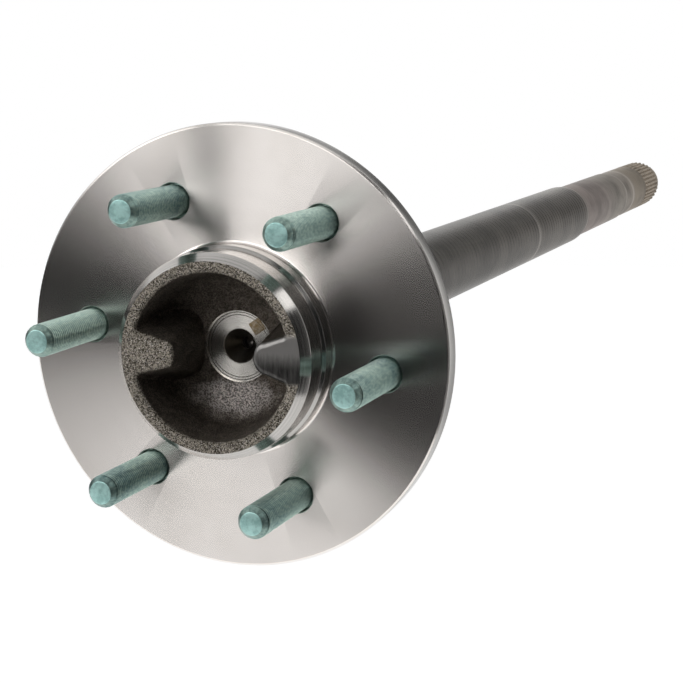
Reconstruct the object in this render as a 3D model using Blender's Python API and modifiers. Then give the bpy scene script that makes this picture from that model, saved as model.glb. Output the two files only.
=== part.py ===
"""Rear axle shaft with its wheel flange, and the six wheel studs pressed into the flange.

The shaft is one forging, turned and splined: a hub cup with two forged ribs inside, the wheel
flange around it, and the long stepped shaft behind. It is drawn on end, in the way it is turned:
z = 0 is the face that the wheel bolts against, +z leaves the face towards the wheel, and the
shaft runs down to the splined end. An empty then lays it level, so that in the scene the wheel
side looks along -Y, the shaft runs back along +Y, and the origin is on the axis at the wheel face.
"""

import math

import bmesh
import bpy
from mathutils import Matrix, Vector

MM = 0.001

# Clearances: pressed and seated pieces keep this gap in the solids.
PRESS_GAP = 0.3 * MM
SEAT_GAP = 0.3 * MM
CUT_MARGIN = 1.5 * MM

# Wheel flange.
FLANGE_RADIUS = 95.25 * MM
FLANGE_THICKNESS = 11.0 * MM
FLANGE_FACE_CHAMFER = 0.9 * MM
FLANGE_BACK_BEVEL_DEPTH = 2.0 * MM
FLANGE_BACK_BEVEL_RUN = 4.0 * MM

# Wheel studs, M14 x 1.5.
STUD_COUNT = 6
STUD_CIRCLE_RADIUS = 67.5 * MM
STUD_PHASE = math.radians(24.3)
STUD_THREAD_RADIUS = 6.93 * MM
STUD_PROJECTION = 48.4 * MM
STUD_TIP_RADIUS = 5.15 * MM
STUD_TIP_CHAMFER = 2.1 * MM
STUD_KNURL_RADIUS = 7.5 * MM
STUD_KNURL_LENGTH = 8.0 * MM
STUD_KNURL_CHAMFER = 0.4 * MM
STUD_HEAD_RADIUS = 11.5 * MM
STUD_HEAD_THICKNESS = 4.5 * MM
STUD_HEAD_CHAMFER = 0.8 * MM

# Hub nose outside: the wheel pilot, and behind it the wider register for the brake disc.
NOSE_HEIGHT = 25.6 * MM
PILOT_RADIUS = 43.5 * MM
NOSE_CHAMFER_WIDTH = 3.4 * MM
NOSE_CHAMFER_HEIGHT = 4.2 * MM
REGISTER_STEP = 1.35 * MM
REGISTER_HEIGHT = 8.2 * MM
REGISTER_CHAMFER = 1.2 * MM
REGISTER_FILLET = 1.4 * MM

# Hub cup inside, as forged.
RIM_LAND = 3.0 * MM
MOUTH_ROUNDING = 1.8 * MM
CUP_WALL_DRAFT = math.radians(8.0)
CUP_CORNER_RADIUS = 11.0 * MM
CUP_FLOOR_RISE = math.radians(9.0)
CUP_FLOOR_BELOW_FACE = 5.5 * MM

# Two forged ribs in the cup, level with its rim, wider towards the floor.
RIB_ANGLES = (0.0, math.pi)
RIB_TIP_REACH = (19.2 * MM, 16.6 * MM)
RIB_LIFT = 1.2 * MM
RIB_NOSE_LENGTH = 5.0 * MM
RIB_NOSE_HALF_WIDTH = 6.3 * MM
RIB_ROOT_HALF_WIDTH = 8.9 * MM
RIB_ROOT_FILLET = 2.0 * MM
RIB_SIDE_DRAFT = math.radians(14.0)
RIB_TIP_DRAFT = math.radians(1.5)

# Machined pad on the cup's floor, with its centre hole.
PAD_RADIUS = 15.5 * MM
PAD_BELOW_FACE = 6.4 * MM
CENTRE_MOUTH_RADIUS = 7.4 * MM
CENTRE_CONE_HALF_ANGLE = math.radians(30.0)
CENTRE_DRILL_RADIUS = 2.5 * MM
CENTRE_DRILL_LENGTH = 5.0 * MM

# Back of the flange: a forged boss that runs down into the shaft.
BOSS_RADIUS = 40.0 * MM
BOSS_LENGTH = 25.0 * MM
BOSS_ROOT_FILLET = 6.0 * MM
BOSS_END_FILLET = 14.0 * MM

# Shaft, from the boss to the splined end.
SHAFT_RADIUS = 20.83 * MM
SHAFT_LENGTH = 563.0 * MM
SHOULDER_LEAD_LENGTH = 6.0 * MM
SHOULDER_LEAD_DROP = 0.35 * MM
SHOULDER_FILLET_LENGTH = 5.0 * MM
WAIST_RADIUS = 19.35 * MM
WAIST_LENGTH = 146.0 * MM
STEP_RUN = 2.0 * MM
NECK_RADIUS = 18.7 * MM
NECK_LENGTH = 32.0 * MM
BLANK_RADIUS = 18.95 * MM
BLANK_LENGTH = 58.0 * MM

# Rolled splines, 35 teeth of 24 diametral pitch, 30 degree flanks.
SPLINE_TEETH = 35
SPLINE_MAJOR_RADIUS = 19.05 * MM
SPLINE_DEPTH = 1.3 * MM
SPLINE_LENGTH = 55.0 * MM
SPLINE_ROOT_WIDTH = 0.76 * MM
SPLINE_FLANK_ANGLE = math.radians(30.0)
SPLINE_RUNOUT = 6.0 * MM
SPLINE_END_CHAMFER = 1.5 * MM

# Groove for the C-shaped lock, and the button that stands behind it.
LOCK_GROOVE_RADIUS = 13.5 * MM
LOCK_GROOVE_WIDTH = 5.6 * MM
BUTTON_RADIUS = 16.6 * MM
BUTTON_LENGTH = 7.4 * MM
BUTTON_CHAMFER = 0.8 * MM
END_CENTRE_RADIUS = 4.6 * MM

# Facets: two around for each spline tooth, so that every tooth space falls on a line of facets.
SHAFT_STEPS = 2 * SPLINE_TEETH
STUD_STEPS = 24
ARC_POINTS = 3
NOSE_POINTS = 5


def rim_outer_radius():
    """Outer edge of the nose's flat rim, where the nose chamfer starts."""
    return PILOT_RADIUS - NOSE_CHAMFER_WIDTH


def mouth_radius():
    """Inner edge of the rim's flat land, where the mouth rounds over into the cup."""
    return rim_outer_radius() - RIM_LAND


def register_radius():
    return PILOT_RADIUS + REGISTER_STEP


def stud_hole_radius():
    return STUD_KNURL_RADIUS + PRESS_GAP


def arc(centre_r, centre_z, radius, start, end, count=ARC_POINTS):
    """Points of an arc in the (radius, height) plane, with both ends."""
    turns = [start + (end - start) * i / count for i in range(count + 1)]
    return [(centre_r + radius * math.cos(a), centre_z + radius * math.sin(a)) for a in turns]


def fillet_corner(before, corner, after, radius):
    """Arc that rounds one corner of a profile, tangent to the two straight sides."""
    corner = Vector(corner)
    to_before = (Vector(before) - corner).normalized()
    to_after = (Vector(after) - corner).normalized()
    half = 0.5 * to_before.angle(to_after)
    run = radius / math.tan(half)
    centre = corner + (to_before + to_after).normalized() * (radius / math.sin(half))
    start = corner + to_before * run - centre
    end = corner + to_after * run - centre
    turn = end.angle_signed(start)
    first = math.atan2(start.y, start.x)
    return arc(centre.x, centre.y, radius, first, first + turn)


def shaft_stations():
    """Heights of the shaft's steps, counted down from the wheel face."""
    stations = {"boss": -FLANGE_THICKNESS}
    stations["boss_end"] = stations["boss"] - BOSS_LENGTH
    lengths = [
        ("lead", SHAFT_LENGTH),
        ("shoulder", SHOULDER_LEAD_LENGTH),
        ("waist", SHOULDER_FILLET_LENGTH),
        ("waist_end", WAIST_LENGTH),
        ("neck_end", NECK_LENGTH),
        ("spline", BLANK_LENGTH),
        ("spline_end", SPLINE_LENGTH),
        ("groove_end", LOCK_GROOVE_WIDTH),
        ("end", BUTTON_LENGTH),
    ]
    height = stations["boss_end"]
    for name, length in lengths:
        height -= length
        stations[name] = height
    return stations


def nose_profile():
    """Outside of the hub nose, from the axis out to the flange face."""
    points = [(0.0, NOSE_HEIGHT), (rim_outer_radius(), NOSE_HEIGHT)]
    points.append((PILOT_RADIUS, NOSE_HEIGHT - NOSE_CHAMFER_HEIGHT))
    points.append((PILOT_RADIUS, REGISTER_HEIGHT + REGISTER_CHAMFER))
    points.append((register_radius(), REGISTER_HEIGHT))
    fillet = arc(register_radius() + REGISTER_FILLET, REGISTER_FILLET, REGISTER_FILLET,
                 math.pi, 1.5 * math.pi)
    return points + fillet


def flange_profile():
    """Rim and back of the flange, down to the boss behind it."""
    points = [(FLANGE_RADIUS - FLANGE_FACE_CHAMFER, 0.0), (FLANGE_RADIUS, -FLANGE_FACE_CHAMFER)]
    points.append((FLANGE_RADIUS, FLANGE_BACK_BEVEL_DEPTH - FLANGE_THICKNESS))
    points.append((FLANGE_RADIUS - FLANGE_BACK_BEVEL_RUN, -FLANGE_THICKNESS))
    return points


def boss_profile(stations):
    """Forged boss: a fillet off the flange's back, a cone, and a fillet into the shaft."""
    rim = (FLANGE_RADIUS, -FLANGE_THICKNESS)
    root = (BOSS_RADIUS, stations["boss"])
    foot = (SHAFT_RADIUS, stations["boss_end"])
    along = (SHAFT_RADIUS, stations["lead"])
    upper = fillet_corner(rim, root, foot, BOSS_ROOT_FILLET)
    return upper + fillet_corner(root, foot, along, BOSS_END_FILLET)


def shaft_profile(stations):
    """Turned steps of the shaft, from behind the flange to the button at its end."""
    points = [(SHAFT_RADIUS, stations["lead"])]
    lead_end = SHAFT_RADIUS - SHOULDER_LEAD_DROP
    points.append((lead_end, stations["shoulder"]))
    points.append((WAIST_RADIUS + 0.3 * (lead_end - WAIST_RADIUS),
                   stations["shoulder"] - 0.4 * SHOULDER_FILLET_LENGTH))
    points.append((WAIST_RADIUS, stations["waist"]))
    points.append((WAIST_RADIUS, stations["waist_end"]))
    points.append((NECK_RADIUS, stations["waist_end"] - STEP_RUN))
    points.append((NECK_RADIUS, stations["neck_end"] + STEP_RUN))
    points.append((BLANK_RADIUS, stations["neck_end"]))
    points.append((BLANK_RADIUS, stations["spline"] + STEP_RUN))
    points.append((SPLINE_MAJOR_RADIUS, stations["spline"]))
    points.append((SPLINE_MAJOR_RADIUS, stations["spline_end"] + SPLINE_END_CHAMFER))
    points.append((SPLINE_MAJOR_RADIUS - SPLINE_END_CHAMFER, stations["spline_end"]))
    points.append((LOCK_GROOVE_RADIUS, stations["spline_end"]))
    points.append((LOCK_GROOVE_RADIUS, stations["groove_end"]))
    points.append((BUTTON_RADIUS - BUTTON_CHAMFER, stations["groove_end"]))
    points.append((BUTTON_RADIUS, stations["groove_end"] - BUTTON_CHAMFER))
    points.append((BUTTON_RADIUS, stations["end"] + BUTTON_CHAMFER))
    points.append((BUTTON_RADIUS - BUTTON_CHAMFER, stations["end"]))
    points.append((0.0, stations["end"]))
    return points


def cup_wall_radius_at(height):
    """Radius of the drafted cup wall at a height below the rounded mouth."""
    top = mouth_radius() - MOUTH_ROUNDING
    return top - (NOSE_HEIGHT - MOUTH_ROUNDING - height) * math.tan(CUP_WALL_DRAFT)


def mouth_steps():
    """Drops below the rim and insets of the mouth's rounding, from the rim's flat down."""
    turns = [0.5 * math.pi * i / ARC_POINTS for i in range(ARC_POINTS + 1)]
    return [(MOUTH_ROUNDING * (1.0 - math.cos(t)), MOUTH_ROUNDING * (1.0 - math.sin(t)))
            for t in turns]


def cup_profile():
    """Hollow of the cup: rounded mouth, drafted wall, large corner and a floor that rises outwards.

    The corner arc touches the wall at right angles to its draft, and the floor at right angles to
    its rise; its centre is found from where the wall stands at that height.
    """
    wall = mouth_radius() - MOUTH_ROUNDING
    points = [(0.0, NOSE_HEIGHT + CUT_MARGIN), (mouth_radius(), NOSE_HEIGHT + CUT_MARGIN)]
    points += [(wall + inset, NOSE_HEIGHT - drop) for drop, inset in mouth_steps()]
    floor_start = PAD_RADIUS
    centre_z = -CUP_FLOOR_BELOW_FACE + CUP_CORNER_RADIUS / math.cos(CUP_FLOOR_RISE)
    for _ in range(8):
        centre_r = cup_wall_radius_at(centre_z) - CUP_CORNER_RADIUS / math.cos(CUP_WALL_DRAFT)
        rise = max(centre_r - floor_start, 0.0) * math.tan(CUP_FLOOR_RISE)
        centre_z = -CUP_FLOOR_BELOW_FACE + rise + CUP_CORNER_RADIUS / math.cos(CUP_FLOOR_RISE)
    points += arc(centre_r, centre_z, CUP_CORNER_RADIUS, -CUP_WALL_DRAFT,
                  -0.5 * math.pi + CUP_FLOOR_RISE, 2 * ARC_POINTS)
    points.append((floor_start, -CUP_FLOOR_BELOW_FACE))
    points.append((0.0, -CUP_FLOOR_BELOW_FACE))
    return points


def centre_profile(face_z, outward, mouth, drill_radius, drill_length, pad_radius):
    """Spot face, cone and drilled tip of a turning centre, cut into a face along -outward."""
    cone_depth = (mouth - drill_radius) / math.tan(CENTRE_CONE_HALF_ANGLE)
    clear = 4.0 * CUP_FLOOR_BELOW_FACE if pad_radius > mouth else CUT_MARGIN
    steps = [(0.0, clear), (pad_radius, clear)]
    if pad_radius > mouth:
        steps += [(pad_radius, 0.0)]
    steps += [(mouth, 0.0), (drill_radius, -cone_depth)]
    steps += [(drill_radius, -cone_depth - drill_length)]
    steps += [(0.0, -cone_depth - drill_length - drill_radius)]
    points = [(r, face_z + outward * h) for r, h in steps]
    return points if outward > 0 else points[::-1]


def stud_profile():
    """One wheel stud, from its tip down to the head behind the flange."""
    seat = -FLANGE_THICKNESS - SEAT_GAP
    knurl_top = seat + STUD_KNURL_LENGTH
    bottom = seat - STUD_HEAD_THICKNESS
    return [
        (0.0, STUD_PROJECTION),
        (STUD_TIP_RADIUS, STUD_PROJECTION),
        (STUD_THREAD_RADIUS, STUD_PROJECTION - STUD_TIP_CHAMFER),
        (STUD_THREAD_RADIUS, knurl_top),
        (STUD_KNURL_RADIUS - STUD_KNURL_CHAMFER, knurl_top),
        (STUD_KNURL_RADIUS, knurl_top - STUD_KNURL_CHAMFER),
        (STUD_KNURL_RADIUS, seat),
        (STUD_HEAD_RADIUS, seat),
        (STUD_HEAD_RADIUS, bottom + STUD_HEAD_CHAMFER),
        (STUD_HEAD_RADIUS - STUD_HEAD_CHAMFER, bottom),
        (0.0, bottom),
    ]


def stud_centre(index):
    """Centre of a stud on the stud circle, counted clockwise as seen from the wheel side."""
    angle = 0.5 * math.pi + STUD_PHASE - index * 2.0 * math.pi / STUD_COUNT
    return Vector((STUD_CIRCLE_RADIUS * math.cos(angle), STUD_CIRCLE_RADIUS * math.sin(angle), 0.0))


def make_collection(name):
    collection = bpy.data.collections.new(name)
    bpy.context.scene.collection.children.link(collection)
    return collection


def make_material(name, color, roughness, metallic):
    """Principled material with a base colour, roughness and metallic value."""
    material = bpy.data.materials.new(name)
    material.use_nodes = True
    shader = material.node_tree.nodes["Principled BSDF"]
    shader.inputs["Base Color"].default_value = (*color, 1.0)
    shader.inputs["Roughness"].default_value = roughness
    shader.inputs["Metallic"].default_value = metallic
    return material


def revolve(name, profile, steps, collection):
    """Turn a (radius, height) profile around Z with a Screw modifier, and keep the result."""
    outline = bpy.data.meshes.new(name + "_profile")
    verts = [(r, 0.0, z) for r, z in profile]
    outline.from_pydata(verts, [(i, i + 1) for i in range(len(verts) - 1)], [])
    turned = bpy.data.objects.new(name, outline)
    collection.objects.link(turned)
    screw = turned.modifiers.new("turn", "SCREW")
    screw.axis = "Z"
    screw.angle = 2.0 * math.pi
    screw.steps = steps
    screw.render_steps = steps
    screw.use_merge_vertices = True
    screw.merge_threshold = 0.00001
    graph = bpy.context.evaluated_depsgraph_get()
    mesh = bpy.data.meshes.new_from_object(turned.evaluated_get(graph))
    mesh.name = name
    mesh.shade_smooth()
    mesh.set_sharp_from_angle(angle=math.radians(28.0))
    turned.modifiers.clear()
    turned.data = mesh
    bpy.data.meshes.remove(outline)
    return turned


def mesh_object(name, builder, collection):
    """Object whose mesh is filled by a bmesh builder."""
    bm = bmesh.new()
    builder(bm)
    bmesh.ops.recalc_face_normals(bm, faces=bm.faces)
    mesh = bpy.data.meshes.new(name)
    bm.to_mesh(mesh)
    bm.free()
    built = bpy.data.objects.new(name, mesh)
    collection.objects.link(built)
    return built


def loft(bm, sections):
    """Closed skin through sections that have the same number of points."""
    rings = [[bm.verts.new(point) for point in section] for section in sections]
    count = len(rings[0])
    for upper, lower in zip(rings, rings[1:]):
        for i in range(count):
            j = (i + 1) % count
            bm.faces.new((upper[i], upper[j], lower[j], lower[i]))
    bm.faces.new(rings[0])
    bm.faces.new(rings[-1][::-1])


def cut(target, cutter):
    """Subtract a cutter from a piece, and show the cutter as wire only."""
    boolean = target.modifiers.new(cutter.name, "BOOLEAN")
    boolean.operation = "DIFFERENCE"
    boolean.object = cutter
    cutter.hide_render = True
    cutter.display_type = "WIRE"


def rib_section(reach, widening, inset, wall_radius, height, angle):
    """Plan outline of a rib at one height: blunt nose, spreading sides, and fillets into the wall.

    The inset is the rounding of the cup's mouth, which runs on around each rib's top edge.
    """
    nose_half = RIB_NOSE_HALF_WIDTH + widening - inset
    root_half = RIB_ROOT_HALF_WIDTH + widening - inset
    fillet = RIB_ROOT_FILLET + inset
    wall = math.sqrt(wall_radius ** 2 - (root_half + fillet) ** 2)
    nose = [(reach + inset + RIB_NOSE_LENGTH * (1.0 - math.cos(t)), nose_half * math.sin(t))
            for t in (0.5 * math.pi * (i + 1) / NOSE_POINTS for i in range(NOSE_POINTS))]
    root = [(wall - fillet * (1.0 - math.sin(t)), root_half + fillet * (1.0 - math.cos(t)))
            for t in (0.5 * math.pi * i / ARC_POINTS for i in range(ARC_POINTS + 1))]
    back = [(wall_radius + fillet, root_half + fillet)]
    half = nose + root + back
    outline = [(reach + inset, 0.0)] + half + [(x, -y) for x, y in reversed(half)]
    place = Matrix.Translation((0.0, RIB_LIFT, height)) @ Matrix.Rotation(angle, 4, "Z")
    return [place @ Vector((x, y, 0.0)) for x, y in outline]


def build_rib(bm, reach, angle):
    """Rib of the cup, with draft on its sides and tip, from above the rim to under the floor."""
    bottom = -CUP_FLOOR_BELOW_FACE
    wall = mouth_radius() - MOUTH_ROUNDING
    levels = [(NOSE_HEIGHT + 2.0 * CUT_MARGIN, MOUTH_ROUNDING, mouth_radius())]
    levels += [(NOSE_HEIGHT - drop, inset, wall + inset) for drop, inset in mouth_steps()]
    levels.append((bottom, 0.0, cup_wall_radius_at(bottom)))
    levels.append((bottom - 2.0 * CUT_MARGIN, 0.0, cup_wall_radius_at(bottom)))
    sections = []
    for height, inset, wall_radius in levels:
        depth = min(max(NOSE_HEIGHT - height, 0.0), NOSE_HEIGHT - bottom)
        sections.append(rib_section(reach - depth * math.tan(RIB_TIP_DRAFT),
                                    depth * math.tan(RIB_SIDE_DRAFT), inset, wall_radius,
                                    height, angle))
    loft(bm, sections)


def build_stud_holes(bm):
    """Through holes for the studs."""
    length = FLANGE_THICKNESS + 2.0 * CUT_MARGIN
    for index in range(STUD_COUNT):
        middle = stud_centre(index) - Vector((0.0, 0.0, 0.5 * FLANGE_THICKNESS))
        bmesh.ops.create_cone(bm, cap_ends=True, segments=STUD_STEPS, radius1=stud_hole_radius(),
                              radius2=stud_hole_radius(), depth=length,
                              matrix=Matrix.Translation(middle))


def build_spline_spaces(bm):
    """Tooth spaces of the splines, open at the shaft's end and running out of the blank."""
    stations = shaft_stations()
    root = SPLINE_MAJOR_RADIUS - SPLINE_DEPTH
    crest = SPLINE_MAJOR_RADIUS + 0.35 * SPLINE_DEPTH
    root_half = 0.5 * SPLINE_ROOT_WIDTH
    crest_half = root_half + (crest - root) * math.tan(SPLINE_FLANK_ANGLE)
    levels = ((stations["spline"] + SPLINE_RUNOUT, crest - root), (stations["spline"], 0.0),
              (stations["spline_end"] - 0.5 * LOCK_GROOVE_WIDTH, 0.0))
    for tooth in range(SPLINE_TEETH):
        turn = Matrix.Rotation(tooth * 2.0 * math.pi / SPLINE_TEETH, 4, "Z")
        sections = []
        for height, lift in levels:
            corners = ((root + lift, -root_half), (crest + lift, -crest_half),
                       (crest + lift, crest_half), (root + lift, root_half))
            sections.append([turn @ Vector((x, y, height)) for x, y in corners])
        loft(bm, sections)


def build_axle_shaft(parts, cutters):
    """The forging: outside turned from one profile, then the cup, centres, holes and splines."""
    stations = shaft_stations()
    outside = nose_profile() + flange_profile() + boss_profile(stations) + shaft_profile(stations)
    shaft = revolve("axle_shaft", outside, SHAFT_STEPS, parts)

    cup = revolve("cup_hollow", cup_profile(), SHAFT_STEPS, cutters)
    for index, (angle, reach) in enumerate(zip(RIB_ANGLES, RIB_TIP_REACH)):
        rib = mesh_object(f"cup_rib_{index + 1}", lambda bm: build_rib(bm, reach, angle), cutters)
        cut(cup, rib)
    cut(shaft, cup)

    pad = centre_profile(-PAD_BELOW_FACE, 1.0, CENTRE_MOUTH_RADIUS, CENTRE_DRILL_RADIUS,
                         CENTRE_DRILL_LENGTH, PAD_RADIUS)
    cut(shaft, revolve("pad_and_centre", pad, SHAFT_STEPS, cutters))
    end = centre_profile(stations["end"], -1.0, END_CENTRE_RADIUS, CENTRE_DRILL_RADIUS,
                         CENTRE_DRILL_LENGTH, END_CENTRE_RADIUS)
    cut(shaft, revolve("end_centre", end, STUD_STEPS, cutters))
    cut(shaft, mesh_object("stud_holes", build_stud_holes, cutters))
    cut(shaft, mesh_object("spline_spaces", build_spline_spaces, cutters))
    shaft.data.materials.append(make_material("turned_steel", (0.36, 0.34, 0.32), 0.34, 1.0))
    return shaft


def build_studs(parts):
    """Six studs that share one turned mesh, each in its own hole."""
    material = make_material("zinc_flake", (0.28, 0.38, 0.36), 0.45, 0.8)
    pattern = revolve("wheel_stud_1", stud_profile(), STUD_STEPS, parts)
    pattern.data.materials.append(material)
    studs = [pattern]
    for index in range(1, STUD_COUNT):
        stud = bpy.data.objects.new(f"wheel_stud_{index + 1}", pattern.data)
        parts.objects.link(stud)
        studs.append(stud)
    for index, stud in enumerate(studs):
        stud.location = stud_centre(index)
    return studs


def main():
    for old in list(bpy.data.objects):
        bpy.data.objects.remove(old, do_unlink=True)
    parts = make_collection("rear_axle_shaft")
    cutters = make_collection("cutters")

    shaft = build_axle_shaft(parts, cutters)
    studs = build_studs(parts)

    axis = bpy.data.objects.new("axle_axis", None)
    parts.objects.link(axis)
    for piece in [shaft, *studs, *cutters.objects]:
        piece.parent = axis
    axis.rotation_euler = (0.5 * math.pi, 0.0, 0.0)


main()
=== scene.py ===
"""Looks of a rear axle shaft: one steel forging, turned and splined, with six pressed-in studs.

Every piece is drawn on end in millimetres, as it would be turned: z = 0 is the face that the
wheel bolts against, +z points to the wheel, and the shaft hangs down. LAY_LEVEL then turns it to
the row's frame: metres, wheel side towards -Y, shaft back along +Y, origin on the axis.
"""

import logging
import math
from dataclasses import dataclass
from enum import Enum

import bmesh
import bpy
from mathutils import Matrix, Vector, noise


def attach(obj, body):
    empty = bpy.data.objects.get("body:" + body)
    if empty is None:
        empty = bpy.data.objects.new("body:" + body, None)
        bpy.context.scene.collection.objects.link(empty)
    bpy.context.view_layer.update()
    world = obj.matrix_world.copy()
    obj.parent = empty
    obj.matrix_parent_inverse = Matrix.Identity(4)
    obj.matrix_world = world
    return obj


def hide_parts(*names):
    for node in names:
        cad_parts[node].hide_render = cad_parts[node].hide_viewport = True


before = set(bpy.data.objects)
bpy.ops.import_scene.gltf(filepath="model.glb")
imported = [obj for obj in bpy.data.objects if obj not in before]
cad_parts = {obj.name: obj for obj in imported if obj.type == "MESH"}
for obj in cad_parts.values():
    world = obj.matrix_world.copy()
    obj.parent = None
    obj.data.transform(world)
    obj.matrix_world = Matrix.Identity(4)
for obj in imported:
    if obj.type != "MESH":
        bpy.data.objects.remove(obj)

Corner = tuple[float, float, float]
Point = tuple[float, float]
Span = tuple[float, float]
Color = tuple[float, float, float]
Node = bpy.types.Node
Tree = bpy.types.NodeTree
Material = bpy.types.Material
Solid = bpy.types.Object

LAY_LEVEL = Matrix.Rotation(0.5 * math.pi, 4, "X") @ Matrix.Scale(0.001, 4)
SMOOTH_ANGLE = math.radians(30.0)
CUT_MARGIN = 0.5
WHITE = (1.0, 1.0, 1.0, 1.0)
LOG = logging.getLogger("axle_shaft")


class Region(Enum):
    """Surface of the forging, by how it was made. The value is its material slot."""

    TURNED = 0
    PAD = 1
    FORGED = 2
    BAR = 3
    SPLINE = 4
    NOSE = 5


class Value:
    """Output of a node, with which sums are written as with numbers."""

    def __init__(self, wiring: "Wiring", socket: bpy.types.NodeSocket) -> None:
        """Keep the output and the wiring of its tree."""
        self.wiring = wiring
        self.socket = socket

    def __add__(self, other: object) -> "Value":
        """Sum."""
        return self.wiring.math("ADD", self, other)

    def __sub__(self, other: object) -> "Value":
        """Difference."""
        return self.wiring.math("SUBTRACT", self, other)

    def __rsub__(self, other: object) -> "Value":
        """A number less this value."""
        return self.wiring.math("SUBTRACT", other, self)

    def __mul__(self, other: object) -> "Value":
        """Product."""
        return self.wiring.math("MULTIPLY", self, other)

    def __truediv__(self, other: object) -> "Value":
        """Quotient."""
        return self.wiring.math("DIVIDE", self, other)

    def __rtruediv__(self, other: object) -> "Value":
        """A number divided by this value."""
        return self.wiring.math("DIVIDE", other, self)

    def __pow__(self, other: object) -> "Value":
        """Power."""
        return self.wiring.math("POWER", self, other)

    def __abs__(self) -> "Value":
        """Size without sign."""
        return self.wiring.math("ABSOLUTE", self)


class Outputs:
    """Outputs of a node, by name or index."""

    def __init__(self, wiring: "Wiring", node: Node) -> None:
        """Keep the node and the wiring of its tree."""
        self.wiring = wiring
        self.node = node

    def __getitem__(self, key: int | str) -> Value:
        """One output."""
        return Value(self.wiring, self.node.outputs[key])


class Wiring:
    """Adds nodes to a tree and links them."""

    def __init__(self, tree: Tree) -> None:
        """Keep the tree that the nodes go into."""
        self.tree = tree

    def feed(self, node: Node, sockets: dict) -> None:
        """Set inputs of a node.

        Args:
            node: the node.
            sockets: input name or index, and its plain value, or what feeds it: an output, or
                a node's outputs, of which the first is taken.
        """
        for name, value in sockets.items():
            if isinstance(value, Outputs):
                value = value[0]
            if isinstance(value, Value):
                self.tree.links.new(value.socket, node.inputs[name])
            else:
                node.inputs[name].default_value = value

    def add(self, kind: str, sockets: dict | None = None, **settings: object) -> Outputs:
        """Add a node.

        Args:
            kind: Blender's name for the node type.
            sockets: what feeds its inputs.
            settings: properties of the node.

        Returns:
            The node's outputs.
        """
        node = self.tree.nodes.new(kind)
        for name, value in settings.items():
            setattr(node, name, value)
        self.feed(node, sockets or {})
        return Outputs(self, node)

    def math(self, operation: str, *values: object) -> Value:
        """Output of a Math node."""
        return self.add("ShaderNodeMath", dict(enumerate(values)), operation=operation)[0]

    def most(self, first: object, *others: object) -> Value:
        """Largest of several values."""
        for other in others:
            first = self.math("MAXIMUM", first, other)
        return first

    def vector(self, operation: str, *values: object) -> Outputs:
        """Outputs of a Vector Math node."""
        return self.add("ShaderNodeVectorMath", dict(enumerate(values)), operation=operation)

    def split(self, vector: object) -> Outputs:
        """X, Y and Z of a vector."""
        return self.add("ShaderNodeSeparateXYZ", {0: vector})

    def combine(self, sockets: dict) -> Outputs:
        """Vector from some of X, Y and Z, by index."""
        return self.add("ShaderNodeCombineXYZ", sockets)

    def diagonal(self, first: Value, second: Value) -> Value:
        """Length of the diagonal over two sides."""
        return self.math("SQRT", first ** 2.0 + second ** 2.0)

    def rise(self, value: object, low: float, high: float) -> Value:
        """Mask that goes smoothly from 0 at low to 1 at high."""
        return self.add("ShaderNodeMapRange", {0: value, 1: low, 2: high},
                        interpolation_type="SMOOTHSTEP")[0]

    def band(self, value: Value, middle: float, half: float, soft: float) -> Value:
        """Mask that is 1 within half of the middle, and fades out over soft."""
        return self.rise(abs(value - middle), half + soft, half)

    def mix(self, factor: object, *colors: object) -> Value:
        """Colour between two colours."""
        first, second = ((*color, 1.0) if isinstance(color, tuple) else color for color in colors)
        return self.add("ShaderNodeMix", {0: factor, 6: first, 7: second}, data_type="RGBA")[2]

    def shade(self, color: object, factor: object) -> Value:
        """Colour times a varying brightness."""
        return self.mix(factor, (0.0, 0.0, 0.0), color)

    def noise(self, vector: object, scale: float, detail: float = 2.0,
              roughness: float = 0.5) -> Value:
        """Value of a noise texture in space."""
        return self.add("ShaderNodeTexNoise", {
            "Vector": vector, "Scale": scale, "Detail": detail, "Roughness": roughness})[0]

    def noise_along(self, value: object, scale: float, detail: float) -> Value:
        """Value of a noise texture along one measure."""
        return self.add("ShaderNodeTexNoise", {"W": value, "Scale": scale, "Detail": detail},
                        noise_dimensions="1D")[0]


def new_tree(name: str, kind: str, inputs: dict[str, tuple[str, object]],
             outputs: dict[str, str]) -> tuple[Wiring, Outputs, Node]:
    """Start a node group.

    Args:
        name: name of the group.
        kind: Blender's name for the tree type.
        inputs: socket name, and its type and default value.
        outputs: socket name and its type.

    Returns:
        The wiring of the group, what it is given, and the node that takes its results.
    """
    tree = bpy.data.node_groups.new(name, kind)
    for socket, (socket_type, default) in inputs.items():
        made = tree.interface.new_socket(name=socket, in_out="INPUT",
                                         socket_type="NodeSocket" + socket_type)
        if default is not None:
            made.default_value = default
    for socket, socket_type in outputs.items():
        tree.interface.new_socket(name=socket, in_out="OUTPUT",
                                  socket_type="NodeSocket" + socket_type)
    wiring = Wiring(tree)
    return wiring, wiring.add("NodeGroupInput"), wiring.add("NodeGroupOutput").node


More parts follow.
